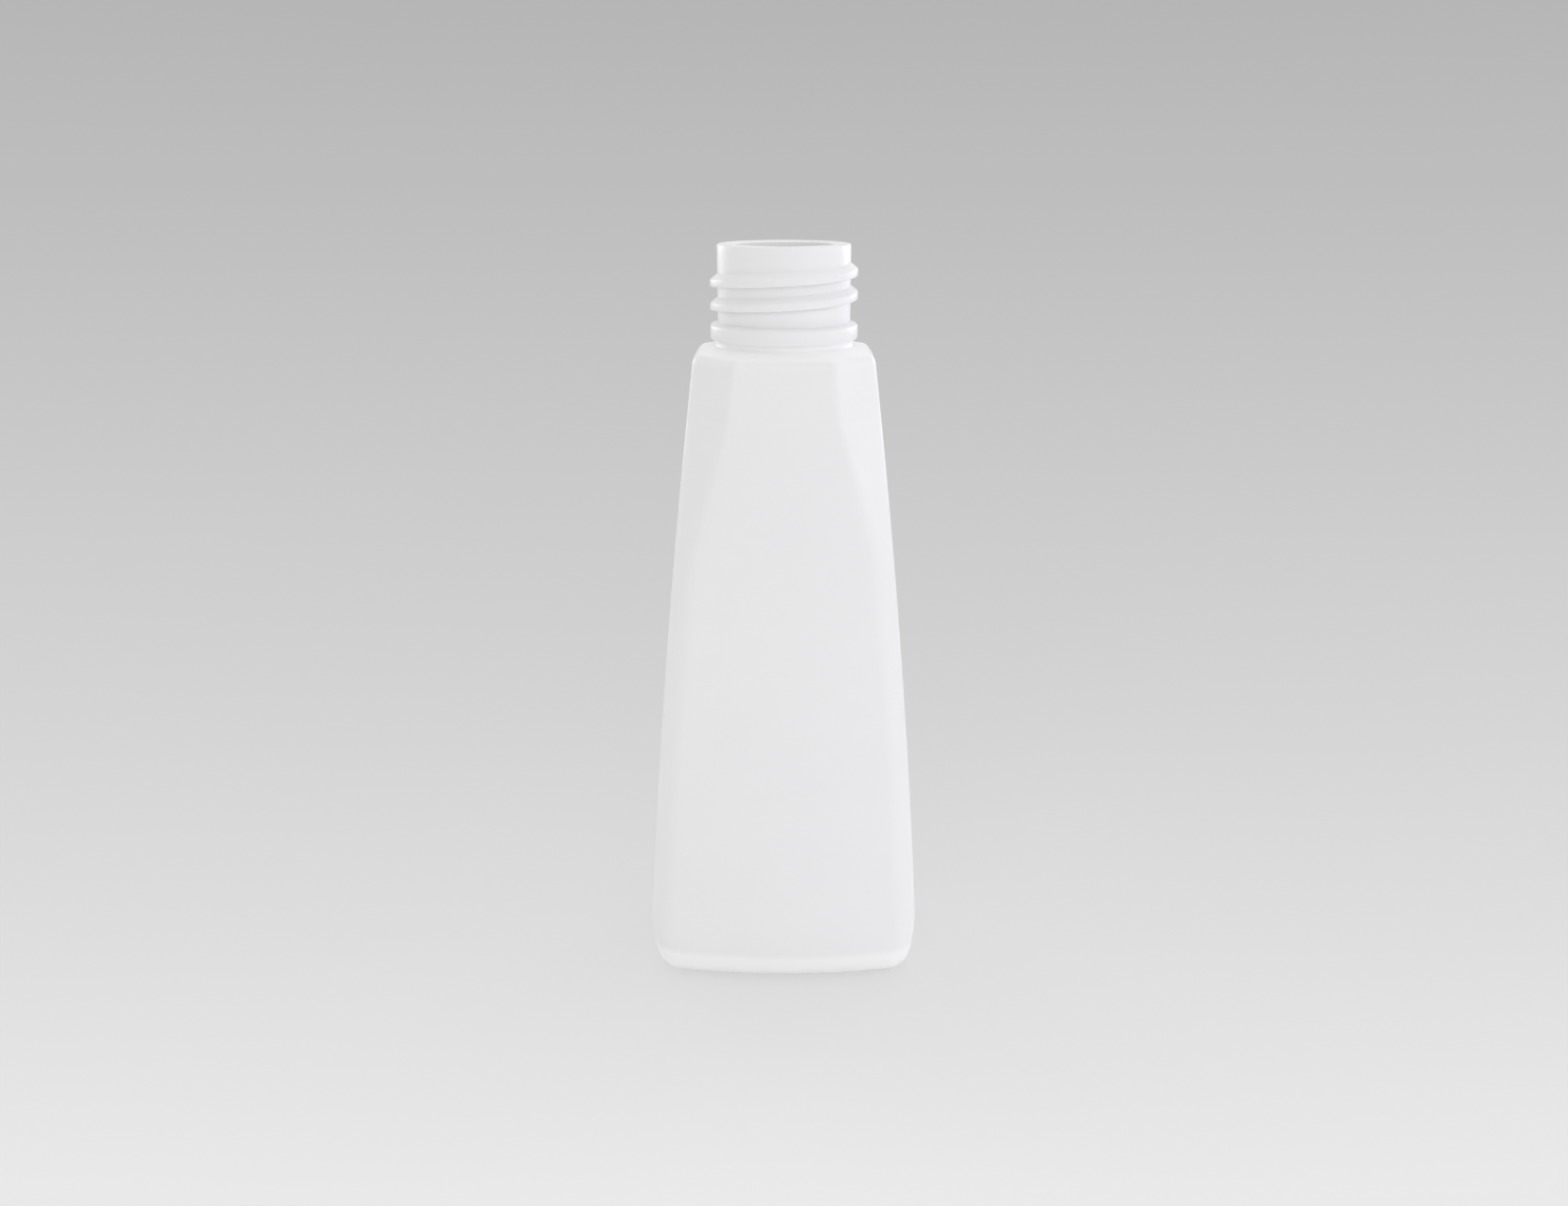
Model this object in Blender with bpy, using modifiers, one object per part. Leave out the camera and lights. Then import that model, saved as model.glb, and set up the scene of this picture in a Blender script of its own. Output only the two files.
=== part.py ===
"""Open white cosmetic bottle, blow-moulded in one piece.

Metres, +Z up, the front faces -Y, and the bottle stands on z = 0 with its neck on the Z axis.
"""
import math

import bmesh
import bpy

# Overall height and the 28 mm screw neck
OVERALL_HEIGHT = 0.1468
NECK_HEIGHT = 0.0185
NECK_RADIUS = 0.01245
NECK_FOOT_RADIUS = 0.0132
BORE_RADIUS = 0.0096
RIM_ROUNDING = 0.0004
LIP_FLARE = 0.0003

# Bead under the thread
BEAD_RADIUS = 0.01385
BEAD_TOP_DROP = 0.0141
BEAD_HEIGHT = 0.0033
BEAD_ROUNDING = 0.0006
BEAD_UNDERSIDE_ROUNDING = 0.0003

# Right-hand thread with a steep upper flank and a short lower flank
THREAD_PITCH = 0.004233
THREAD_HEIGHT = 0.00135
THREAD_CREST = 0.0013
THREAD_UPPER_RUN = 0.0011
THREAD_LOWER_RUN = 0.0003
THREAD_FRONT_DROP = 0.00605
THREAD_START_DEGREES = 40.0
THREAD_TURNS = 1.75
THREAD_FADE_DEGREES = 50.0
THREAD_ROOT_DEPTH = 0.0004

# Eight-sided shoulder
SHOULDER_WIDTH = 0.0337
SHOULDER_DEPTH = 0.0340
SHOULDER_FALL = 0.0007
SHOULDER_ROUNDING = 0.00185
SHOULDER_FACET = 0.0088
FACET_EDGE_ROUNDING = 0.0025
PLATE_MARGIN = 0.0003

# Body, which widens to its belly and leans in again below it
BELLY_WIDTH = 0.0560
BELLY_DEPTH = 0.0400
BELLY_HEIGHT = 0.0125
SIDE_SWELL = 0.00094
FRONT_SWELL = 0.0006
HEEL_LEAN = 0.0018
BODY_CORNER_RADIUS = 0.0040
FACE_BOW_RADIUS = 0.125
SIDE_BOW_RADIUS = 0.213

# Corner facets, which keep their width down to the knee and then narrow until they end in the corner
FACET_KNEE_DROP = 0.0305
FACET_END_DROP = 0.0560
FACET_END_WIDTH = 0.0007

# Base
BASE_FILLET_REACH = 0.0052
BASE_FILLET_RISE = 0.0070
FOOT_BAND = 0.0030
FOOT_CORNER_RADIUS = 0.0018
PUSH_UP_DEPTH = 0.0018
PUSH_UP_SLOPE = 0.0030

# Wall and hollow
BODY_WALL = 0.0011
INNER_CORNER_RADIUS = 0.0008
BORE_ENTRY = 0.0012
OVERRUN = 0.0010

# Counts
NECK_STEPS = 60
FRONT_STEPS = 4
SIDE_STEPS = 3
FACET_STEPS = 2
ROUNDING_STEPS = 2
BODY_RINGS = 9
FADE_RINGS = 5
KNEE_RINGS = 2
FILLET_RINGS = 6
SHOULDER_RINGS = 4
THREAD_STEPS_PER_TURN = 40

PLATE_HEIGHT = OVERALL_HEIGHT - NECK_HEIGHT
SHOULDER_EDGE_HEIGHT = PLATE_HEIGHT - SHOULDER_FALL
ROUNDING_FOOT_HEIGHT = SHOULDER_EDGE_HEIGHT - SHOULDER_ROUNDING
KNEE_HEIGHT = OVERALL_HEIGHT - FACET_KNEE_DROP
FACET_END_HEIGHT = OVERALL_HEIGHT - FACET_END_DROP

# A corner cut at 45 degrees: how much of a rounding's radius the cut takes, and where the rounding starts
CORNER_SHARE = 2 - math.sqrt(2)
TANGENT_SHARE = math.tan(math.radians(22.5))


def clear_scene():
    for item in list(bpy.data.objects):
        bpy.data.objects.remove(item, do_unlink=True)


def new_collection(name):
    collection = bpy.data.collections.new(name)
    bpy.context.scene.collection.children.link(collection)
    return collection


def add_object(name, mesh, collection):
    item = bpy.data.objects.new(name, mesh)
    collection.objects.link(item)
    return item


def loft(name, rings, collection):
    """Closed solid through rings of points, listed from one end to the other."""
    bm = bmesh.new()
    loops = [[bm.verts.new(point) for point in ring] for ring in rings]
    for lower, upper in zip(loops, loops[1:]):
        for index in range(len(lower)):
            following = (index + 1) % len(lower)
            bm.faces.new((lower[index], lower[following], upper[following], upper[index]))
    bm.faces.new(list(reversed(loops[0])))
    bm.faces.new(loops[-1])
    bmesh.ops.recalc_face_normals(bm, faces=bm.faces)
    for face in bm.faces:
        face.smooth = len(face.verts) == 4
    mesh = bpy.data.meshes.new(name)
    bm.to_mesh(mesh)
    bm.free()
    return add_object(name, mesh, collection)


def turned(name, profile, collection):
    """Solid of revolution of an outline in the XZ plane, listed from the top down."""
    mesh = bpy.data.meshes.new(name)
    edges = [(index, index + 1) for index in range(len(profile) - 1)]
    mesh.from_pydata([(x, 0.0, z) for x, z in profile], edges, [])
    item = add_object(name, mesh, collection)
    screw = item.modifiers.new("turn", "SCREW")
    screw.axis = "Z"
    screw.steps = NECK_STEPS
    screw.render_steps = NECK_STEPS
    screw.use_merge_vertices = True
    screw.merge_threshold = 0.00001
    return item


def quarter_outline(half_width, half_depth, radius, facet):
    """Points from the middle of the right side round the cut corner to the middle of the back."""
    cut = facet / math.sqrt(2) + CORNER_SHARE * radius
    tangent = TANGENT_SHARE * radius
    side_end = half_depth - cut - tangent
    back_start = half_width - cut - tangent
    points = []
    for step in range(SIDE_STEPS):
        points.append((half_width, side_end * step / SIDE_STEPS))
    side_corner = []
    back_corner = []
    for step in range(ROUNDING_STEPS + 1):
        turn = math.radians(45) * step / ROUNDING_STEPS
        across = radius * (1 - math.cos(turn))
        along = radius * math.sin(turn)
        side_corner.append((half_width - across, side_end + along))
        back_corner.append((back_start + along, half_depth - across))
    back_corner.reverse()
    points += side_corner
    for step in range(1, FACET_STEPS):
        share = step / FACET_STEPS
        points.append(
            (
                side_corner[-1][0] * (1 - share) + back_corner[0][0] * share,
                side_corner[-1][1] * (1 - share) + back_corner[0][1] * share,
            )
        )
    points += back_corner
    for step in range(1, FRONT_STEPS + 1):
        points.append((back_start * (1 - step / FRONT_STEPS), half_depth))
    return points


def outline(half_width, half_depth, radius, facet, height):
    """A level ring of the body, its four sides bowed outwards."""
    quarter = quarter_outline(half_width, half_depth, radius, facet)
    half = quarter + [(-x, y) for x, y in reversed(quarter[1:-1])]
    ring = half + [(-x, -y) for x, y in half]
    bowed = []
    for x, y in ring:
        side_bow = 1 - y * y / (2 * SIDE_BOW_RADIUS * half_width)
        face_bow = 1 - x * x / (2 * FACE_BOW_RADIUS * half_depth)
        bowed.append((x * side_bow, y * face_bow, height))
    return bowed


def circle_like(ring, radius, height):
    """A circle whose points lie in the same directions as those of a ring."""
    circle = []
    for x, y, _ in ring:
        reach = math.hypot(x, y)
        circle.append((x * radius / reach, y * radius / reach, height))
    return circle


def body_sizes(height):
    """Half width, half depth, corner rounding and facet width of the outer skin at a height."""
    rise = (height - BELLY_HEIGHT) / (SHOULDER_EDGE_HEIGHT - BELLY_HEIGHT)
    if rise > 0:
        swell = 4 * rise * (1 - rise)
        half_width = (BELLY_WIDTH + (SHOULDER_WIDTH - BELLY_WIDTH) * rise) / 2 + SIDE_SWELL * swell
        half_depth = (BELLY_DEPTH + (SHOULDER_DEPTH - BELLY_DEPTH) * rise) / 2 + FRONT_SWELL * swell
    else:
        lean = HEEL_LEAN * (1 - height / BELLY_HEIGHT) ** 2
        half_width = BELLY_WIDTH / 2 - lean
        half_depth = BELLY_DEPTH / 2 - lean
    fade = (KNEE_HEIGHT - height) / (KNEE_HEIGHT - FACET_END_HEIGHT)
    fade = min(max(fade, 0), 1)
    radius = FACET_EDGE_ROUNDING + (BODY_CORNER_RADIUS - FACET_EDGE_ROUNDING) * fade
    facet = SHOULDER_FACET + (FACET_END_WIDTH - SHOULDER_FACET) * fade
    return half_width, half_depth, radius, facet


def inset_ring(height, inset, ring_height, least_radius):
    """The skin's outline at a height, moved inwards and placed at a height of its own."""
    half_width, half_depth, radius, facet = body_sizes(height)
    inner_radius = max(radius - inset, least_radius)
    inner_facet = facet + math.sqrt(2) * CORNER_SHARE * (radius - inset - inner_radius)
    inner_facet = max(inner_facet, FACET_END_WIDTH)
    return outline(half_width - inset, half_depth - inset, inner_radius, inner_facet, ring_height)


def foot_rings(wall, least_radius):
    """The raised middle of the base, the flat band that the bottle stands on, and the base fillet."""
    band_end = BASE_FILLET_REACH + FOOT_BAND
    push_up_end = band_end + PUSH_UP_SLOPE
    rings = [
        inset_ring(BASE_FILLET_RISE, push_up_end, wall + PUSH_UP_DEPTH, least_radius),
        inset_ring(BASE_FILLET_RISE, band_end, wall, least_radius),
    ]
    for step in range(FILLET_RINGS):
        turn = math.radians(90) * step / FILLET_RINGS
        inset = BASE_FILLET_REACH - (BASE_FILLET_REACH - wall) * math.sin(turn)
        height = BASE_FILLET_RISE - (BASE_FILLET_RISE - wall) * math.cos(turn)
        rings.append(inset_ring(BASE_FILLET_RISE, inset, height, least_radius))
    return rings


def wall_rings(low, high, count, wall, least_radius):
    rings = []
    for step in range(count):
        height = low + (high - low) * step / count
        rings.append(inset_ring(height, wall, height, least_radius))
    return rings


def shoulder_rings(wall, least_radius):
    rings = []
    rounding = SHOULDER_ROUNDING - wall
    for step in range(SHOULDER_RINGS + 1):
        turn = math.radians(90) * step / SHOULDER_RINGS
        inset = SHOULDER_ROUNDING - rounding * math.cos(turn)
        height = ROUNDING_FOOT_HEIGHT + rounding * math.sin(turn)
        rings.append(inset_ring(ROUNDING_FOOT_HEIGHT, inset, height, least_radius))
    return rings


def skin_rings(wall, least_radius):
    """Rings from the base to the shoulder's edge, a wall thickness inside the outer skin."""
    rings = foot_rings(wall, least_radius)
    rings += wall_rings(BASE_FILLET_RISE, FACET_END_HEIGHT, BODY_RINGS, wall, least_radius)
    rings += wall_rings(FACET_END_HEIGHT, KNEE_HEIGHT, FADE_RINGS, wall, least_radius)
    rings += wall_rings(KNEE_HEIGHT, ROUNDING_FOOT_HEIGHT, KNEE_RINGS, wall, least_radius)
    rings += shoulder_rings(wall, least_radius)
    return rings


def body_solid(collection):
    rings = skin_rings(0, FOOT_CORNER_RADIUS)
    rings.append(circle_like(rings[-1], NECK_FOOT_RADIUS + PLATE_MARGIN, PLATE_HEIGHT))
    rings.append(circle_like(rings[-1], BORE_RADIUS, PLATE_HEIGHT))
    return loft("bottle", rings, collection)


def neck_solid(collection):
    bead_top = OVERALL_HEIGHT - BEAD_TOP_DROP
    bead_foot = bead_top - BEAD_HEIGHT
    foot = PLATE_HEIGHT - BODY_WALL
    profile = [
        (0, OVERALL_HEIGHT),
        (NECK_RADIUS - RIM_ROUNDING, OVERALL_HEIGHT),
        (NECK_RADIUS, OVERALL_HEIGHT - RIM_ROUNDING),
        (NECK_RADIUS, bead_top),
        (BEAD_RADIUS - BEAD_ROUNDING, bead_top),
        (BEAD_RADIUS, bead_top - BEAD_ROUNDING),
        (BEAD_RADIUS, bead_foot + BEAD_UNDERSIDE_ROUNDING),
        (NECK_FOOT_RADIUS, bead_foot),
        (NECK_FOOT_RADIUS, foot),
        (0, foot),
    ]
    return turned("neck", profile, collection)


def thread_solid(collection):
    """A ridge wound to the right round the neck, sunk at its root and faded out at both ends."""
    rings = []
    count = round(THREAD_STEPS_PER_TURN * THREAD_TURNS)
    sweep = 360 * THREAD_TURNS
    root = NECK_RADIUS - THREAD_ROOT_DEPTH
    for step in range(count + 1):
        turned_by = sweep * step / count
        fade = min(turned_by, sweep - turned_by, THREAD_FADE_DEGREES) / THREAD_FADE_DEGREES
        reach = THREAD_ROOT_DEPTH + THREAD_HEIGHT * fade * fade * (3 - 2 * fade)
        lower_run = THREAD_LOWER_RUN * reach / THREAD_HEIGHT
        upper_run = THREAD_UPPER_RUN * reach / THREAD_HEIGHT
        bearing = THREAD_START_DEGREES - turned_by
        crest = OVERALL_HEIGHT - THREAD_FRONT_DROP + THREAD_PITCH * (bearing + 90) / 360
        section = [
            (root, crest - THREAD_CREST / 2 - lower_run),
            (root + reach, crest - THREAD_CREST / 2),
            (root + reach, crest + THREAD_CREST / 2),
            (root, crest + THREAD_CREST / 2 + upper_run),
        ]
        direction = math.radians(bearing)
        rings.append([(r * math.cos(direction), r * math.sin(direction), z) for r, z in section])
    return loft("thread", rings, collection)


def cavity_solid(collection):
    """The room inside the body, as high as the underside of the shoulder."""
    rings = skin_rings(BODY_WALL, INNER_CORNER_RADIUS)
    rings.append(circle_like(rings[-1], BORE_RADIUS + BORE_ENTRY, PLATE_HEIGHT - BODY_WALL))
    return loft("cavity", rings, collection)


def bore_solid(collection):
    foot = PLATE_HEIGHT - BODY_WALL - OVERRUN
    profile = [
        (0, OVERALL_HEIGHT + OVERRUN),
        (BORE_RADIUS + LIP_FLARE + OVERRUN, OVERALL_HEIGHT + OVERRUN),
        (BORE_RADIUS, OVERALL_HEIGHT - LIP_FLARE),
        (BORE_RADIUS, foot),
        (0, foot),
    ]
    return turned("bore", profile, collection)


def white_plastic():
    colour = (0.83, 0.83, 0.84, 1.0)
    material = bpy.data.materials.new("white_plastic")
    material.diffuse_color = colour
    material.use_nodes = True
    shader = material.node_tree.nodes["Principled BSDF"]
    shader.inputs["Base Color"].default_value = colour
    shader.inputs["Roughness"].default_value = 0.4
    shader.inputs["Metallic"].default_value = 0.0
    return material


def combine(item, tool, operation):
    tool.hide_render = True
    tool.display_type = "WIRE"
    boolean = item.modifiers.new(tool.name, "BOOLEAN")
    boolean.operation = operation
    boolean.solver = "EXACT"
    boolean.object = tool


def build():
    clear_scene()
    parts = new_collection("cosmetic_bottle")
    cutters = new_collection("cutters")
    bottle = body_solid(parts)
    bottle.data.materials.append(white_plastic())
    combine(bottle, neck_solid(cutters), "UNION")
    combine(bottle, thread_solid(cutters), "UNION")
    combine(bottle, cavity_solid(cutters), "DIFFERENCE")
    combine(bottle, bore_solid(cutters), "DIFFERENCE")
    print("bottle", OVERALL_HEIGHT, "m high")


build()
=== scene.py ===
import math
import bpy
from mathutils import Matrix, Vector


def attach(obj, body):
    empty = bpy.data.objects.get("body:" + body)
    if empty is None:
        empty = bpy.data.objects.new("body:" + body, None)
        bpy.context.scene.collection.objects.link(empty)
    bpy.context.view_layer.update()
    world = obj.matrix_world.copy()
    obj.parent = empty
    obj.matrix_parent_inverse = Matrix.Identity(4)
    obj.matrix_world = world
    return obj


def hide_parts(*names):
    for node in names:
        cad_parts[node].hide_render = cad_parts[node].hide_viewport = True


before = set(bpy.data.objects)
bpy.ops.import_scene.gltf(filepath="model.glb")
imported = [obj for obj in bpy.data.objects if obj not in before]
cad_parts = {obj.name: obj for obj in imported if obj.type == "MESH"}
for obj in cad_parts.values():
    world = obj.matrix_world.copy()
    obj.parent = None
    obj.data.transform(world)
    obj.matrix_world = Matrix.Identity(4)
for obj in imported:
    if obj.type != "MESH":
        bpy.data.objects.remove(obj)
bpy.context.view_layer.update()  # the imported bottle, in metres, standing on z = 0 with its front to -Y
print("frame loaded:", sorted(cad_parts))

# lengths in metres, angles in degrees, heights measured up from the foot
body = {
    "shoulderWidth": 0.0337, "shoulderDepth": 0.0340, "shoulderHeight": 0.1276,
    "shoulderRounding": 0.0017, "shoulderCrease": 18,  # left out where the rounding meets the wall
    "bellyWidth": 0.05562, "bellyDepth": 0.03998, "bellyHeight": 0.0125,
    "bellySoftening": 0.0030, "bellyTop": 0.0170,
    "sideSwell": 0.00094, "frontSwell": 0.0006, "heelLean": 0.0018,
    "cornerRadius": 0.0042, "frontBow": 0.125, "sideBow": 0.213,
    "facetWidth": 0.0088, "facetRadius": 0.0022, "facetEndWidth": 0.0007,
    "kneeHeight": 0.1163, "kneeBand": 0.0003, "facetEndHeight": 0.0908,
    "filletReach": 0.0052, "filletRise": 0.0070, "filletCrease": 0.0013,
    "footBand": 0.0030, "footRadius": 0.0018, "pushUp": 0.0018, "pushUpSlope": 0.0032,
    "wall": 0.0011, "insideRadius": 0.0008, "smoothUpTo": 30,
}
neck = {
    "rimHeight": 0.1468, "plateHeight": 0.1283, "radius": 0.01245, "rimRounding": 0.0004,
    "footRadius": 0.0130, "footFillet": 0.0005, "footDrop": 0.0001,
    "bore": 0.0096, "lipFlare": 0.0003, "boreEntry": 0.0012,
    "beadRadius": 0.01385, "beadTop": 0.1324, "beadHeight": 0.0029, "beadSlope": 0.0003,
    "beadRounding": 0.0006, "beadStart": 78, "beadUnderRounding": 0.00055, "beadEnd": -72,
}
thread = {
    "pitch": 0.004233, "height": 0.00135, "crest": 0.00125, "upperRun": 0.0011,
    "lowerRun": 0.0002, "rootDepth": 0.0004, "crestRounding": 0.00012, "crestSegments": 3,
    "rootFillet": 0.0002, "filletFoot": 1.2, "filletTurn": 0.29,  # shares of the fillet
    "frontDrop": 0.00605, "startBearing": 40.5, "turns": 1.75, "fade": 50, "steps": 280,
}
# faces in a quarter of the outline, and rows of faces up each stretch of the bottle
steps = {"front": 14, "corner": 6, "facet": 6, "side": 8}
columns = 4 * (steps["front"] + 2 * steps["corner"] + steps["facet"] + steps["side"])
sameHeight = 0.000001  # points closer in height than this lie on one ring
rows = {
    "pushUp": 5, "fillet": 16, "belly": 14, "wall": 14, "facetFade": 15, "knee": 1, "facet": 7,
    "shoulder": 8, "bore": 5, "neck": 12, "neckCorner": 4,
}


def deselectAll():
    if bpy.context.mode != "OBJECT":
        bpy.ops.object.mode_set(mode="OBJECT")
    bpy.ops.object.select_all(action="DESELECT")


def makeActive(piece):
    deselectAll()
    piece.select_set(True)
    bpy.context.view_layer.objects.active = piece


def applyModifier(piece, kind, **values):
    makeActive(piece)
    bpy.ops.object.modifier_add(type=kind)
    modifier = piece.modifiers[-1]
    for name, value in values.items():
        setattr(modifier, name, value)
    bpy.ops.object.modifier_apply(modifier=modifier.name)


def closeEnds(poked):
    # open rings are filled, the new faces divided from their middle, and all faces turned outwards
    bpy.ops.mesh.select_all(action="DESELECT")
    bpy.ops.mesh.select_mode(type="EDGE")
    bpy.ops.mesh.select_non_manifold()
    bpy.ops.mesh.fill_holes(sides=0)
    if poked:
        bpy.ops.mesh.poke()
    bpy.ops.mesh.select_all(action="SELECT")
    bpy.ops.mesh.normals_make_consistent(inside=False)


def skinSizes(height):
    # half width and half depth of the outer skin
    rise = (height - body["bellyHeight"]) / (body["shoulderHeight"] - body["bellyHeight"])
    if rise < 0:
        lean = body["heelLean"] * (1 - height / body["bellyHeight"]) ** 2
        return body["bellyWidth"] / 2 - lean, body["bellyDepth"] / 2 - lean
    swell = 4 * rise * (1 - rise)
    width = body["bellyWidth"] * (1 - rise) + body["shoulderWidth"] * rise
    depth = body["bellyDepth"] * (1 - rise) + body["shoulderDepth"] * rise
    return width / 2 + body["sideSwell"] * swell, depth / 2 + body["frontSwell"] * swell


def softSizes(height):
    # the crease at the belly is softened by averaging over a few millimetres
    soft = body["bellySoftening"]
    near = max(0.0, 1 - abs(height - body["bellyHeight"]) / (2 * soft))
    below, middle, above = skinSizes(height - soft), skinSizes(height), skinSizes(height + soft)
    return [m + near * (b + a - 2 * m) / 4 for b, m, a in zip(below, middle, above)]


def outline(height, inset, ringHeight, leastRadius):
    # the body's section at a height, moved inwards by inset and laid at ringHeight
    halfWidth, halfDepth = [half - inset for half in softSizes(height)]
    fade = (body["kneeHeight"] - height) / (body["kneeHeight"] - body["facetEndHeight"])
    fade = min(max(fade, 0.0), 1.0)
    skinRadius = body["facetRadius"] + (body["cornerRadius"] - body["facetRadius"]) * fade
    facet = body["facetWidth"] + (body["facetEndWidth"] - body["facetWidth"]) * fade
    radius = max(skinRadius - inset, leastRadius)
    facet = max(facet + (math.sqrt(8) - 2) * (skinRadius - inset - radius), body["facetEndWidth"])

    # each corner is a facet at 45 degrees between two roundings
    cut = facet / math.sqrt(2) + (2 - math.sqrt(2)) * radius
    tangent = math.tan(math.radians(22.5)) * radius
    sideEnd = halfDepth - cut - tangent
    frontEnd = halfWidth - cut - tangent
    sideCorner, frontCorner = [], []
    for n in range(steps["corner"] + 1):
        turn = math.radians(45) * n / steps["corner"]
        across = radius * (1 - math.cos(turn))
        along = radius * math.sin(turn)
        sideCorner.append((halfWidth - across, sideEnd + along))
        frontCorner.insert(0, (frontEnd + along, halfDepth - across))
    quarter = [(halfWidth, sideEnd * n / steps["side"]) for n in range(steps["side"])]
    quarter += sideCorner
    for n in range(1, steps["facet"]):
        share = n / steps["facet"]
        ends = zip(sideCorner[-1], frontCorner[0])
        quarter.append([a * (1 - share) + b * share for a, b in ends])
    quarter += frontCorner
    for n in range(1, steps["front"] + 1):
        quarter.append((frontEnd * (1 - n / steps["front"]), halfDepth))
    half = quarter + [(-x, y) for x, y in reversed(quarter[1:-1])]
    ring = half + [(-x, -y) for x, y in half]

    # the four faces are bowed a little
    sideBow = 2 * body["sideBow"] * halfWidth
    frontBow = 2 * body["frontBow"] * halfDepth
    return [(x * (1 - y * y / sideBow), y * (1 - x * x / frontBow), ringHeight) for x, y in ring]


def circle(radius, height):
    turns = [2 * math.pi * n / columns for n in range(columns)]
    return [(radius * math.cos(turn), radius * math.sin(turn), height) for turn in turns]


def footRings(wall, leastRadius):
    # from the raised middle of the base, over the standing band and up its rounded edge
    rise, reach = body["filletRise"], body["filletReach"]
    bandEnd = reach + body["footBand"]
    rings = []
    for n in range(rows["pushUp"] + 1):
        share = n / rows["pushUp"]
        inset = bandEnd + body["pushUpSlope"] * (1 - share)
        lift = body["pushUp"] * (1 + math.cos(math.pi * share)) / 2
        rings.append(outline(rise, inset, wall + lift, leastRadius))
    for n in range(rows["fillet"] + 1):
        turn = math.radians(90) * n / rows["fillet"]
        inset = reach - (reach - wall) * math.sin(turn)
        if wall == 0:
            inset += body["filletCrease"] * math.cos(turn) * (1 - math.cos(turn)) ** 3
        rings.append(outline(rise, inset, rise - (rise - wall) * math.cos(turn), leastRadius))
    return rings


def skinRings(wall, leastRadius):
    # from the middle of the base up to the shoulder's edge, wall inside the outer skin
    rings = footRings(wall, leastRadius)
    roundingFoot = body["shoulderHeight"] - body["shoulderRounding"]
    knee, band = body["kneeHeight"], body["kneeBand"]
    stops = [(body["filletRise"], "belly"), (body["bellyTop"], "wall"),
             (body["facetEndHeight"], "facetFade"), (knee - band, "knee"), (knee, "knee"),
             (knee + band, "facet"), (roundingFoot, "")]
    for (low, stretch), (high, _) in zip(stops, stops[1:]):
        for n in range(1, rows[stretch] + 1):
            height = low + (high - low) * n / rows[stretch]
            rings.append(outline(height, wall, height, leastRadius))
    rounding = body["shoulderRounding"] - wall
    first = math.radians(body["shoulderCrease"])
    for n in range(1, rows["shoulder"] + 1):
        turn = first + (math.radians(90) - first) * n / rows["shoulder"]
        inset = wall + rounding * (1 - math.cos(turn) / math.cos(first))
        lift = rounding * (math.sin(turn) - math.sin(first)) / (1 - math.sin(first))
        rings.append(outline(roundingFoot, inset, roundingFoot + lift, leastRadius))
    return rings


def roundedCorner(radius, height, rounding, start, end):
    rings = []
    for n in range(rows["neckCorner"] + 1):
        turn = math.radians(start + (end - start) * n / rows["neckCorner"])
        rings.append(circle(radius + rounding * math.cos(turn), height + rounding * math.sin(turn)))
    return rings


def neckRings():
    # up the bore, over the rim and down the outside to the shoulder plate
    bore, rim, plate = neck["bore"], neck["rimHeight"], neck["plateHeight"]
    entry, flare, radius = neck["boreEntry"], neck["lipFlare"], neck["radius"]
    low = plate - body["wall"]
    rings = [circle(bore + entry, low), circle(bore + flare, low), circle(bore, low + flare)]
    for n in range(1, rows["bore"] + 1):
        rings.append(circle(bore, low + flare + (rim - 2 * flare - low) * n / rows["bore"]))
    rings.append(circle(bore + flare, rim))

    rounding = neck["rimRounding"]
    rings += roundedCorner(radius - rounding, rim - rounding, rounding, 90, 0)
    top, foot = rim - rounding, neck["beadTop"] + neck["beadSlope"]
    for n in range(1, rows["neck"] + 1):
        rings.append(circle(radius, top + (foot - top) * n / rows["neck"]))

    bead, rounding = neck["beadRadius"], neck["beadRounding"]
    top, start = neck["beadTop"] - rounding, neck["beadStart"]
    rings += roundedCorner(bead - rounding, top, rounding, start, 0)
    under, rounding = neck["beadTop"] - neck["beadHeight"], neck["beadUnderRounding"]
    rings += roundedCorner(bead - rounding, under + rounding, rounding, 0, neck["beadEnd"])
    rings.append(circle(neck["footRadius"], under - neck["footDrop"]))
    fillet = neck["footFillet"]
    rings += roundedCorner(neck["footRadius"] + fillet, plate + fillet, fillet, 180, 270)
    return rings


def shapeRings(name, rings):
    # a circle extruded once for each ring, then every ring is brought to its outline
    deselectAll()
    bpy.ops.mesh.primitive_circle_add(vertices=columns, radius=1, fill_type="NOTHING")
    piece = bpy.context.object
    piece.name = piece.data.name = name
    bpy.ops.object.mode_set(mode="EDIT")
    bpy.ops.mesh.select_all(action="SELECT")
    for ring in rings[1:]:
        bpy.ops.mesh.extrude_edges_move(TRANSFORM_OT_translate={"value": (0, 0, 1)})
    bpy.ops.object.mode_set(mode="OBJECT")
    for vertex in piece.data.vertices:
        x, y, z = vertex.co
        column = round(math.atan2(y, x) / (2 * math.pi) * columns) % columns
        vertex.co = rings[round(z)][column]
    bpy.ops.object.mode_set(mode="EDIT")
    closeEnds(poked=True)
    bpy.ops.object.mode_set(mode="OBJECT")
    return piece


def markCreases(piece, heights):
    # the level rings where two surfaces meet at a slight angle
    points = piece.data.vertices
    for edge in piece.data.edges:
        ends = [points[v].co.z for v in edge.vertices]
        gaps = [max(abs(end - height) for end in ends) for height in heights]
        edge.use_edge_sharp = min(gaps) < sameHeight


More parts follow.
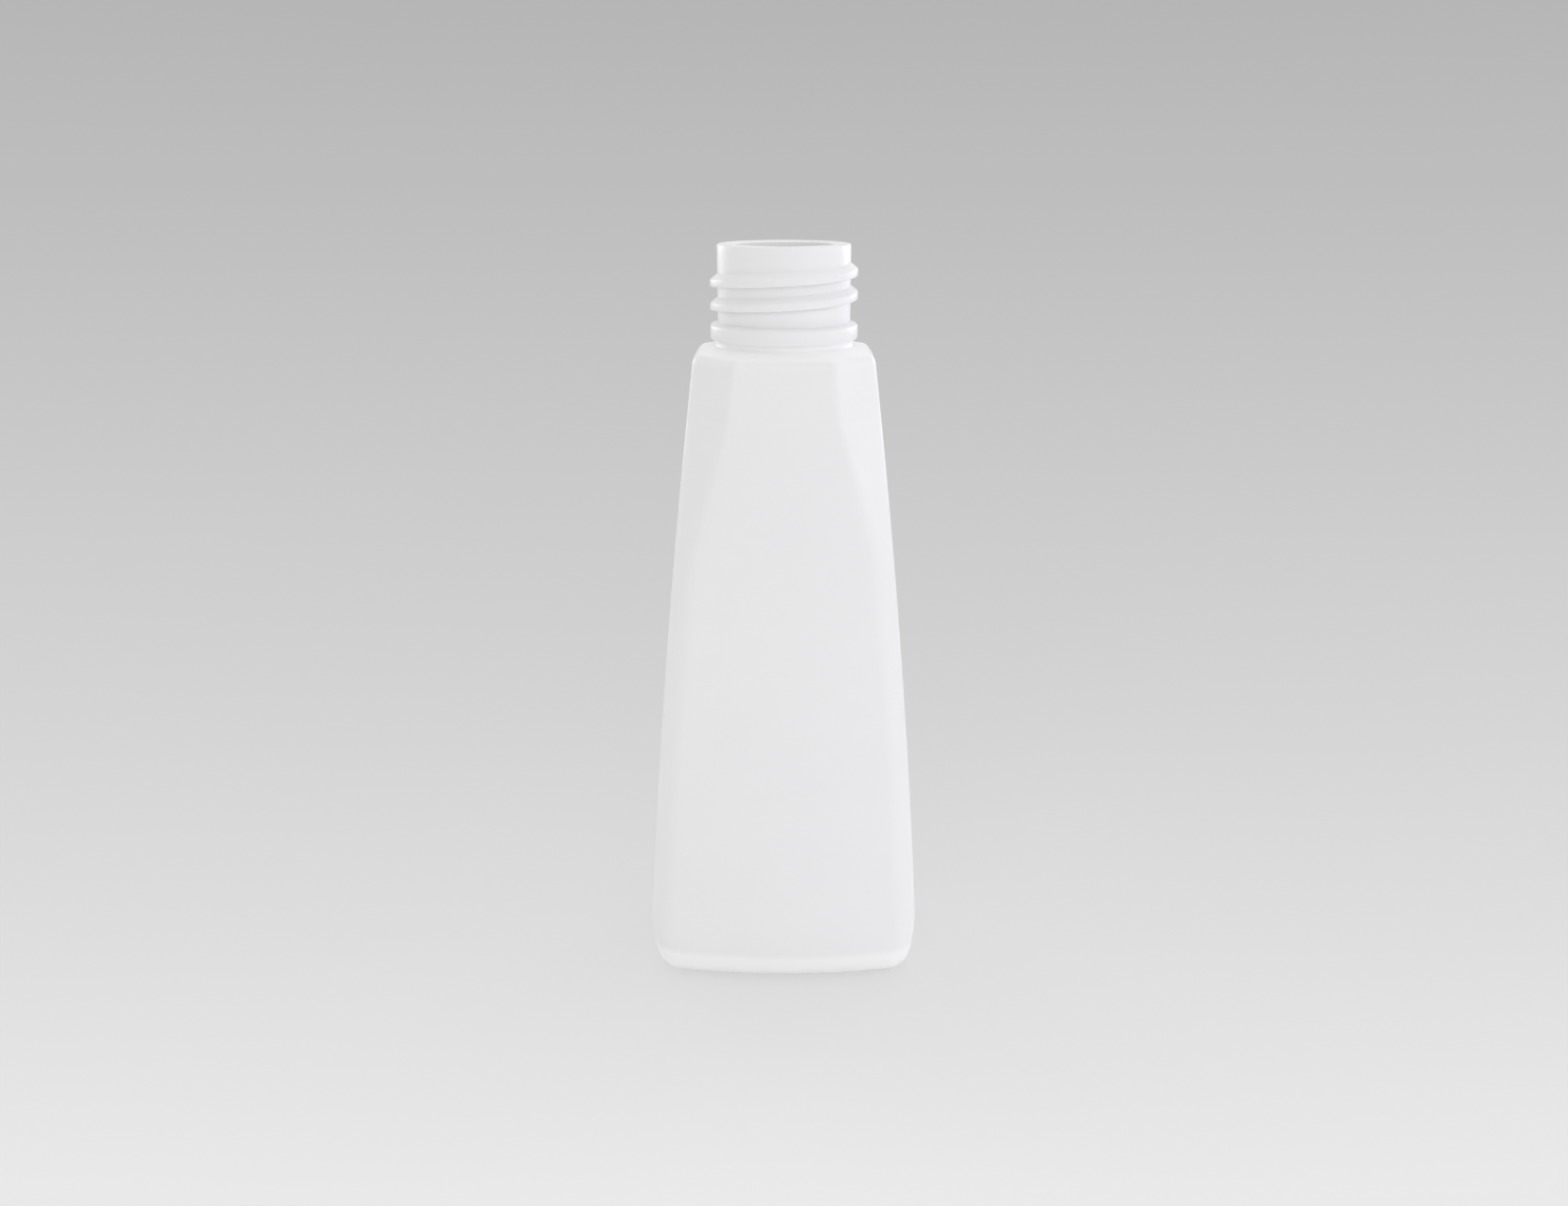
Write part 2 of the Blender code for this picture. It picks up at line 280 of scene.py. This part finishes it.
def threadSection(root, full):
    # the outline of the ridge, from under its lower flank, over the crest and down to the root
    crest, fillet, depth = thread["crest"] / 2, thread["rootFillet"], thread["rootDepth"]
    lowerRun = thread["lowerRun"] * full / thread["height"]  # carried on down to the root
    upperRun = thread["upperRun"] * full / thread["height"]
    below = -crest - thread["lowerRun"]
    turn = thread["filletTurn"] * fillet
    section = [(0, below - thread["filletFoot"] * fillet), (depth + turn, below - turn),
               (depth + fillet, below + lowerRun * fillet / full),
               (full, -crest), (full, crest), (0, crest + upperRun)]
    return [(root + out, 0, up) for out, up in section]


def threadRidge():
    # a trapezoid wound once and three quarters round the neck
    root = neck["radius"] - thread["rootDepth"]
    full = thread["height"] + thread["rootDepth"]
    crest, sweep = thread["crest"] / 2, 360 * thread["turns"]
    climb = thread["pitch"] * thread["turns"]
    section = threadSection(root, full)
    deselectAll()
    bpy.ops.mesh.primitive_circle_add(vertices=len(section), fill_type="NOTHING")
    ridge = bpy.context.object
    ridge.name = ridge.data.name = "threadRidge"
    for vertex, place in zip(ridge.data.vertices, section):
        vertex.co = place
    bpy.ops.object.mode_set(mode="EDIT")
    bpy.ops.mesh.select_all(action="DESELECT")
    bpy.ops.object.mode_set(mode="OBJECT")
    for vertex in ridge.data.vertices:
        vertex.select = vertex.co.x > root + full / 2
    bpy.ops.object.mode_set(mode="EDIT")
    bpy.ops.mesh.bevel(affect="VERTICES", offset=thread["crestRounding"],
                       segments=thread["crestSegments"], offset_type="OFFSET")
    bpy.ops.object.mode_set(mode="OBJECT")
    profile = len(ridge.data.vertices)
    applyModifier(ridge, "SCREW", axis="Z", angle=math.radians(sweep), screw_offset=climb,
                  steps=thread["steps"], render_steps=thread["steps"], use_smooth_shade=True)
    stations = len(ridge.data.vertices) // profile
    print("thread:", profile, "points in", stations, "stations")

    # laid at its height and bearing, lower and narrower towards both ends; the front is at -90
    firstBearing = thread["startBearing"] - sweep
    lowest = neck["rimHeight"] - thread["frontDrop"] + thread["pitch"] * (firstBearing + 90) / 360
    turnBack = math.radians(firstBearing)
    for vertex in ridge.data.vertices:
        x, y, z = vertex.co
        station = vertex.index // profile
        turned = sweep * station / (stations - 1)
        rise = climb * station / (stations - 1)
        fade = min(turned, sweep - turned, thread["fade"]) / thread["fade"]
        fade = fade * fade * (3 - 2 * fade)
        reach = (thread["rootDepth"] + thread["height"] * fade) / full
        out, up = math.hypot(x, y) - root, z - rise
        run = max(abs(up) - crest, 0) * reach  # the flanks run out with the height
        up = math.copysign(min(abs(up), crest) + run, up)
        bearing = math.atan2(y, x) + turnBack
        radius = root + out * reach
        vertex.co = (radius * math.cos(bearing), radius * math.sin(bearing), lowest + rise + up)
    makeActive(ridge)
    bpy.ops.object.mode_set(mode="EDIT")
    closeEnds(poked=False)
    bpy.ops.object.mode_set(mode="OBJECT")
    return ridge


inner = skinRings(body["wall"], body["insideRadius"])
outer = skinRings(0, body["footRadius"])
shell = shapeRings("bottle_shell", inner + neckRings() + outer[::-1])
roundingFoot = body["shoulderHeight"] - body["shoulderRounding"]
markCreases(shell, [body["filletRise"], body["kneeHeight"], roundingFoot])
ridge = threadRidge()
applyModifier(shell, "BOOLEAN", operation="UNION", solver="EXACT", object=ridge)
bpy.data.objects.remove(ridge)
makeActive(shell)
bpy.ops.object.shade_smooth_by_angle(angle=math.radians(body["smoothUpTo"]), keep_sharp_edges=True)
print("shell modelled:", len(shell.data.vertices), "points,", len(shell.data.polygons), "faces")

# white plastic; the heights are where one tone turns into the other, the skin's tone into the painted
# light
plastic = {
    "colour": (0.884, 0.878, 0.883, 1), "shade": (0.871, 0.865, 0.872, 1),
    # painted light: a whiter colour and the places it is painted on, lifting the shade in the bore, on
    # the heel and on the plate
    "paintedLight": (0.955, 0.95, 0.952, 1), "paintedBoreLightMargin": 0.0002,
    "paintedHeelLightHeights": (0.0074, 0.0056), "paintedPlateLightHeights": (0.1271, 0.1276),
    "toneSize": 28, "toneDetail": 3, "toneSpread": (0.35, 0.65),
    "glossSize": 240, "glossDetail": 2, "roughness": (0.28, 0.36), "specular": 0.5, "ior": 1.5,
    "grainSize": 2600, "grainDetail": 2, "grainShare": 0.06,
    "partingWidth": 0.00013, "partingInset": 0.0008, "bumpStrength": 0.5, "bumpDepth": 0.00006,
}


def newMaterial(name):
    material = bpy.data.materials.new(name)
    material.use_nodes = True
    return material, material.node_tree.nodes, material.node_tree.links


def addNode(nodes, kind, place, **values):
    node = nodes.new(kind)
    node.location = place
    for name, value in values.items():
        setattr(node, name, value)
    return node


def addMath(nodes, links, place, operation, *values):
    # each value is a number or the output of another node
    node = addNode(nodes, "ShaderNodeMath", place, operation=operation)
    for socket, value in zip(node.inputs, values):
        if isinstance(value, bpy.types.NodeSocket):
            links.new(value, socket)
        else:
            socket.default_value = value
    return node.outputs[0]


def addRange(nodes, links, place, value, source, target=(0, 1), **values):
    node = addNode(nodes, "ShaderNodeMapRange", place, **values)
    node.inputs["From Min"].default_value, node.inputs["From Max"].default_value = source
    node.inputs["To Min"].default_value, node.inputs["To Max"].default_value = target
    links.new(value, node.inputs["Value"])
    return node.outputs["Result"]


def addNoise(nodes, links, place, spot, size, detail):
    node = addNode(nodes, "ShaderNodeTexNoise", place)
    node.inputs["Scale"].default_value = size
    node.inputs["Detail"].default_value = detail
    links.new(spot, node.inputs["Vector"])
    return node.outputs["Fac"]


def addDistance(nodes, links, place, spot):
    # how far a point is from the bottle's upright middle line
    flat = addNode(nodes, "ShaderNodeVectorMath", place, operation="MULTIPLY")
    flat.inputs[1].default_value = (1, 1, 0)
    length = addNode(nodes, "ShaderNodeVectorMath", (place[0] + 200, place[1]), operation="LENGTH")
    links.new(spot, flat.inputs[0])
    links.new(flat.outputs["Vector"], length.inputs[0])
    return length.outputs["Value"]


def paintedLightPlaces(nodes, links, spot, height):
    # 1 where light is painted: in the bore, on the heel and on the shoulder plate up to the bead
    reach = addDistance(nodes, links, (-1300, 900), spot)
    boreReach = neck["bore"] + plastic["paintedBoreLightMargin"]
    within = addMath(nodes, links, (-900, 900), "LESS_THAN", reach, boreReach)
    middle = body["wall"] + neck["plateHeight"] / 2
    high = addMath(nodes, links, (-900, 1100), "GREATER_THAN", height, middle)
    bore = addMath(nodes, links, (-700, 900), "MULTIPLY", within, high)
    heel = addRange(nodes, links, (-900, 1300), height, plastic["paintedHeelLightHeights"])
    plate = addRange(nodes, links, (-900, 1600), height, plastic["paintedPlateLightHeights"])
    beadFoot = neck["beadTop"] - neck["beadHeight"] + neck["beadUnderRounding"] / 3
    below = addMath(nodes, links, (-900, 1900), "LESS_THAN", height, beadFoot)
    ring = addMath(nodes, links, (-700, 1600), "MULTIPLY", plate, below)
    ends = addMath(nodes, links, (-500, 1300), "MAXIMUM", heel, ring)
    return addMath(nodes, links, (-300, 1000), "MAXIMUM", bore, ends)


def whitePlastic():
    material, nodes, links = newMaterial("white_plastic")
    shader = nodes["Principled BSDF"]
    shader.inputs["Specular IOR Level"].default_value = plastic["specular"]
    shader.inputs["IOR"].default_value = plastic["ior"]
    spot = addNode(nodes, "ShaderNodeTexCoord", (-1700, 0)).outputs["Object"]
    parts = addNode(nodes, "ShaderNodeSeparateXYZ", (-1500, 600))
    links.new(spot, parts.inputs["Vector"])

    # painted light: the bore, the heel and the shoulder plate are painted a little whiter than the skin,
    # to lift the shade that falls in these places
    tone = addNoise(nodes, links, (-1100, 250), spot, plastic["toneSize"], plastic["toneDetail"])
    spread = addRange(nodes, links, (-800, 250), tone, plastic["toneSpread"])
    skin = addNode(nodes, "ShaderNodeMix", (-500, 300), data_type="RGBA")
    skin.inputs["A"].default_value = plastic["shade"]
    skin.inputs["B"].default_value = plastic["colour"]
    # the painted light is mixed over the skin's tone where its mask is 1
    colour = addNode(nodes, "ShaderNodeMix", (-250, 400), data_type="RGBA")
    colour.inputs["B"].default_value = plastic["paintedLight"]
    links.new(spread, skin.inputs["Factor"])
    links.new(paintedLightPlaces(nodes, links, spot, parts.outputs["Z"]), colour.inputs["Factor"])
    links.new(skin.outputs["Result"], colour.inputs["A"])
    links.new(colour.outputs["Result"], shader.inputs["Base Color"])

    wave = addNoise(nodes, links, (-1100, -50), spot, plastic["glossSize"], plastic["glossDetail"])
    gloss = addRange(nodes, links, (-500, 0), wave, (0, 1), plastic["roughness"])
    links.new(gloss, shader.inputs["Roughness"])

    # fine grain of the mould, and the raised line where its halves met
    size, detail = plastic["grainSize"], plastic["grainDetail"]
    grain = addNoise(nodes, links, (-1100, -350), spot, size, detail)
    across = addMath(nodes, links, (-1100, -650), "ABSOLUTE", parts.outputs["Y"])
    line = addRange(nodes, links, (-800, -650), across, (plastic["partingWidth"], 0),
                    interpolation_type="SMOOTHSTEP")
    aside = addMath(nodes, links, (-1100, -950), "ABSOLUTE", parts.outputs["X"])
    edge = neck["radius"] - plastic["partingInset"]
    beyond = addMath(nodes, links, (-800, -950), "GREATER_THAN", aside, edge)
    seam = addMath(nodes, links, (-600, -700), "MULTIPLY", line, beyond)
    height = addMath(nodes, links, (-400, -500), "MULTIPLY_ADD", grain, plastic["grainShare"], seam)
    bump = addNode(nodes, "ShaderNodeBump", (-200, -400))
    bump.inputs["Strength"].default_value = plastic["bumpStrength"]
    bump.inputs["Distance"].default_value = plastic["bumpDepth"]
    links.new(height, bump.inputs["Height"])
    links.new(bump.outputs["Normal"], shader.inputs["Normal"])
    return material


shell.data.materials.clear()
shell.data.materials.append(whitePlastic())
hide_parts("bottle")
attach(shell, "root")
print("white plastic on")

# floor and backdrop, seen paler near the camera and greyer towards the horizon and above it
studio = {
    "floorReach": 12.0, "floorSides": 96, "floorColour": 0.98, "roughness": 0.9, "specular": 0.1,
    # share of the floor's own light near the bottle and far off
    "glow": (0.72, 1.0), "glowReach": (0.10, 0.55),
    # depth behind the bottle and the tone there, out of 255
    "floorStops": [(-0.08, 235.7), (-0.04, 228.5), (0.0, 223.3), (0.1, 214.6), (0.2, 209.4),
                   (0.4, 203.5), (0.8, 198.0), (1.5, 194.3), (3.0, 191.6), (12.0, 189.3)],
    "halfway": 0.3,  # depth that lies in the middle of the ramp
    # from this far the other sides of the floor darken as the back does
    "roundStart": 0.3, "roundShare": 0.8, "roundEase": 0.24,
    "horizon": 189.0, "backdropTop": 181.3, "backdropRise": 0.108, "ambient": 0.40,
}


def linear(value):
    value /= 255
    return value / 12.92 if value <= 0.04045 else ((value + 0.055) / 1.055) ** 2.4


def grey(value):
    return (value, value, value, 1)


def seenDirectly(nodes, links, place):
    # 1 for what the camera sees, also in gloss and through clear things
    path = addNode(nodes, "ShaderNodeLightPath", place)
    camera, glossy = path.outputs["Is Camera Ray"], path.outputs["Is Glossy Ray"]
    first = addMath(nodes, links, (place[0] + 200, place[1]), "MAXIMUM", camera, glossy)
    through = path.outputs["Is Transmission Ray"]
    return addMath(nodes, links, (place[0] + 400, place[1]), "MAXIMUM", first, through)


def floorTone(nodes, links, spot, away):
    # depth is laid on a ramp as d / (d + halfway), so that it holds the horizon as well
    near, halfway = studio["floorStops"][0][0], studio["halfway"]
    share, start = studio["roundShare"], studio["roundStart"]
    parts = addNode(nodes, "ShaderNodeSeparateXYZ", (-1400, 0))
    links.new(spot, parts.inputs["Vector"])
    depth = addMath(nodes, links, (-1200, 0), "SUBTRACT", parts.outputs["Y"], near)
    around = addMath(nodes, links, (-1200, 200), "MULTIPLY_ADD", away, share, -share * start)
    eased = addMath(nodes, links, (-1000, 200), "SMOOTH_MAX", around, 0, studio["roundEase"])
    ahead = addMath(nodes, links, (-800, 100), "MAXIMUM", depth, eased)
    lift = addMath(nodes, links, (-800, -200), "ADD", ahead, halfway)
    ramp = addNode(nodes, "ShaderNodeValToRGB", (-400, 0))
    links.new(addMath(nodes, links, (-600, 0), "DIVIDE", ahead, lift), ramp.inputs["Fac"])
    stops = ramp.color_ramp.elements
    while len(stops) > 1:
        stops.remove(stops[-1])
    for index, (behind, level) in enumerate(studio["floorStops"]):
        position = (behind - near) / (behind - near + halfway)
        stop = stops[0] if index == 0 else stops.new(position)
        stop.position = position
        stop.color = grey(linear(level))
    return ramp.outputs["Color"]


def addFloor():
    deselectAll()
    bpy.ops.mesh.primitive_circle_add(vertices=studio["floorSides"], radius=studio["floorReach"],
                                      fill_type="NGON")
    floor = bpy.context.object
    floor.name = floor.data.name = "floor"
    material, nodes, links = newMaterial("pale_floor")
    shader = nodes["Principled BSDF"]
    shader.inputs["Roughness"].default_value = studio["roughness"]
    shader.inputs["Specular IOR Level"].default_value = studio["specular"]
    spot = addNode(nodes, "ShaderNodeTexCoord", (-1800, 0)).outputs["Object"]
    away = addDistance(nodes, links, (-1600, 300), spot)
    tone = floorTone(nodes, links, spot, away)
    seen = seenDirectly(nodes, links, (-500, 500))

    # what is seen has the ramp's tone, partly lit so that the shadow stays, and the light that
    # falls back on the bottle is that of a plain white floor
    colour = addNode(nodes, "ShaderNodeMix", (-100, 100), data_type="RGBA")
    colour.inputs["A"].default_value = grey(studio["floorColour"])
    links.new(seen, colour.inputs["Factor"])
    links.new(tone, colour.inputs["B"])
    links.new(colour.outputs["Result"], shader.inputs["Base Color"])
    glow = addNode(nodes, "ShaderNodeEmission", (0, -200))
    links.new(tone, glow.inputs["Color"])
    growth = addRange(nodes, links, (-800, 300), away, studio["glowReach"], studio["glow"],
                      interpolation_type="SMOOTHSTEP")
    mix = addNode(nodes, "ShaderNodeMixShader", (500, 0))
    links.new(addMath(nodes, links, (200, 300), "MULTIPLY", growth, seen), mix.inputs["Fac"])
    links.new(shader.outputs["BSDF"], mix.inputs[1])
    links.new(glow.outputs["Emission"], mix.inputs[2])
    links.new(mix.outputs["Shader"], nodes["Material Output"].inputs["Surface"])
    floor.data.materials.append(material)


def addWorld():
    world = bpy.data.worlds.new("studio")
    bpy.context.scene.world = world
    world.use_nodes = True
    nodes, links = world.node_tree.nodes, world.node_tree.links
    light = nodes["Background"]
    light.inputs["Color"].default_value = grey(1)
    light.inputs["Strength"].default_value = studio["ambient"]
    seen = addNode(nodes, "ShaderNodeBackground", (0, -200))
    seen.inputs["Strength"].default_value = 1
    place = addNode(nodes, "ShaderNodeTexCoord", (-900, -200))
    parts = addNode(nodes, "ShaderNodeSeparateXYZ", (-700, -200))
    links.new(place.outputs["Generated"], parts.inputs["Vector"])
    rise = (0, studio["backdropRise"])
    tones = (linear(studio["horizon"]), linear(studio["backdropTop"]))
    fall = addRange(nodes, links, (-500, -200), parts.outputs["Z"], rise, tones)
    mix = addNode(nodes, "ShaderNodeMixShader", (300, 0))
    links.new(fall, seen.inputs["Color"])
    links.new(seenDirectly(nodes, links, (-500, 300)), mix.inputs["Fac"])
    links.new(light.outputs["Background"], mix.inputs[1])
    links.new(seen.outputs["Background"], mix.inputs[2])
    links.new(mix.outputs["Shader"], nodes["World Output"].inputs["Surface"])


# soft lamps round the bottle: place, size, watts, colour, and whether it shows in the gloss
white, warm, cool = (1, 1, 1), (1, 0.965, 0.965), (0.92, 0.92, 1)
lampAim = (0, 0, 0.08)
lamps = {
    "back": ((0, 1.15, 0.42), (1.6, 0.45), 0.8, white, True),
    "highBack": ((0, 0.95, 0.70), (1.2, 0.6), 0.7, white, True),
    "front": ((0, -1.05, 0.60), (1.2, 0.6), 3.55, white, False),
    "top": ((0, 0, 1.15), (1, 1), 3.9, white, False),
    "right": ((1.1, 0, 0.35), (0.6, 0.6), 2.2, cool, False),
    "rightBack": ((0.8, 0.75, 0.30), (0.6, 0.5), 2.6, cool, True),
    "rightFront": ((0.85, -0.70, 0.35), (0.6, 0.6), 0.9, cool, False),
    "left": ((-1.1, 0, 0.35), (0.6, 0.6), 0.9, warm, False),
    "leftBack": ((-0.8, 0.75, 0.30), (0.6, 0.5), 2.5, warm, True),
}
view = {
    "place": (0, -0.2494, 0.1606), "tilt": 71.4, "sensor": 36, "lens": 29.92,
    "nearest": 0.01, "furthest": 50,
}


def addLamps():
    for name, (place, size, watts, colour, glossy) in lamps.items():
        deselectAll()
        bpy.ops.object.light_add(type="AREA", location=place)
        light = bpy.context.object
        light.name = light.data.name = name + "Lamp"
        light.data.shape = "RECTANGLE"
        light.data.size, light.data.size_y = size
        light.data.energy = watts
        light.data.color = colour
        direction = Vector(lampAim) - light.location
        light.rotation_euler = direction.to_track_quat("-Z", "Y").to_euler()
        light.visible_camera = False
        light.visible_glossy = glossy


def addCamera():
    deselectAll()
    tilt = math.radians(view["tilt"])
    bpy.ops.object.camera_add(location=view["place"], rotation=(tilt, 0, 0))
    camera = bpy.context.object
    camera.data.sensor_width = view["sensor"]
    camera.data.lens = view["lens"]
    camera.data.clip_start = view["nearest"]
    camera.data.clip_end = view["furthest"]
    bpy.context.scene.camera = camera


addFloor()
addWorld()
addLamps()
addCamera()
bpy.context.scene.view_settings.view_transform = "Standard"
print("studio ready")
